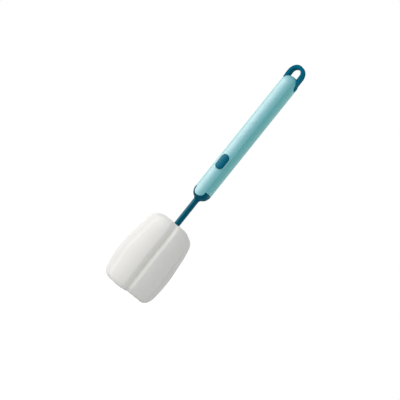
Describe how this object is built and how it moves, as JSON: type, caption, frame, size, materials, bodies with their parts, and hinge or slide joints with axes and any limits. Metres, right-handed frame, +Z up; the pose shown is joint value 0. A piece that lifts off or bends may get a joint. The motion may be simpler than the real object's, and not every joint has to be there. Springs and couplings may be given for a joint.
{
  "type": "sponge cup brush",
  "caption": "Long slim cup brush: lobed white sponge on a thin stem, round handle with a push button that ejects the sponge, and a hanging loop.",
  "frame": {"origin": "middle of the sponge's flat bottom, on which the brush stands", "axes": "+Z up along the brush towards the hanging loop, -Y towards the release button, X across the loop's hole"},
  "size_m": [0.0626, 0.0646, 0.2991],
  "materials": {
    "pale_plastic": "satin moulded plastic, pale aqua",
    "dark_plastic": "satin moulded plastic, dark teal",
    "white_plastic": "smooth moulded plastic, white",
    "steel": "drawn stainless wire",
    "foam": "fine open-cell foam, white"
  },
  "bodies": {
    "sponge_head": {"sponge": "foam", "sponge_core": "white_plastic"},
    "pusher": {"push_rod": "steel", "rod_wedge": "white_plastic"},
    "handle": {"grip_body": "pale_plastic", "front_panel": "pale_plastic", "stem_and_collar": "dark_plastic", "hang_loop": "dark_plastic", "rod_return_spring": "steel"},
    "button": {"release_button": "dark_plastic"}
  },
  "joints": [
    {"name": "head_pull_off", "type": "slide", "parent": "sponge_head", "child": "pusher", "axis": [0, 0, 1], "range_m": [0, 0.066]},
    {"name": "rod_push", "type": "slide", "parent": "pusher", "child": "handle", "axis": [0, 0, 1], "range_m": [0, 0.002], "stiffness_N_per_m": 350, "springref_m": -0.005, "deforming": ["rod_return_spring"]},
    {"name": "button_press", "type": "slide", "parent": "handle", "child": "button", "axis": [0, 1, 0], "range_m": [0, 0.002]}
  ],
  "couplings": [
    {"joint": "rod_push", "follows": "button_press", "ratio": 1}
  ]
}
